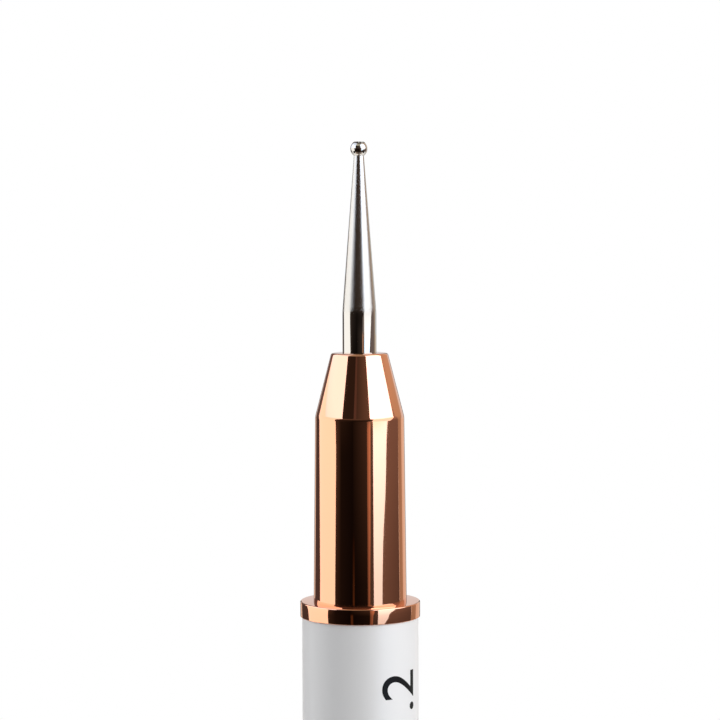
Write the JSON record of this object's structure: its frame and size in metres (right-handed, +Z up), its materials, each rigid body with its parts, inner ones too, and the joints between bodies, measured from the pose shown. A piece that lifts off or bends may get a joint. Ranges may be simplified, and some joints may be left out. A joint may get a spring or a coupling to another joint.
{
  "type": "double-ended nail brush",
  "caption": "Slim nail-art hand tool: ball-tipped dotting needle at the top, pointed detail brush under a clear push-on cap at the foot, joined by a straight white handle in rose-gold fittings.",
  "frame": {"origin": "on the axis in the middle of the handle, where fingers or a holder grip it", "axes": "+Z up along the handle, from the capped brush end to the dotting ball"},
  "size_m": [0.0086, 0.0086, 0.1825],
  "materials": {
    "handle_lacquer": "satin white lacquer on a moulded tube",
    "rose_gold": "mirror-bright rose-gold plating on turned brass",
    "polished_steel": "ground and mirror-polished stainless steel",
    "nickel": "bright nickel plating on a drawn brass tube",
    "nylon": "natural moulded nylon, hidden inside",
    "resin": "cured amber epoxy, hidden inside",
    "hair": "fine tapered brown filament",
    "clear_acrylic": "clear polished acrylic"
  },
  "bodies": {
    "brush": {"handle_tube": "handle_lacquer", "dotting_end_fitting": "rose_gold", "dotting_end_plug": "nylon", "dotting_needle": "polished_steel", "dotting_ball": "polished_steel", "brush_end_fitting": "rose_gold", "brush_end_plug": "nylon", "hair_ferrule": "nickel", "hair_root_resin": "resin", "hair_tuft": "hair"},
    "cap": {"brush_cap": "clear_acrylic"}
  },
  "joints": [
    {"name": "cap_slide", "type": "slide", "parent": "brush", "child": "cap", "axis": [0, 0, -1], "range_m": [0, 0.036]}
  ]
}
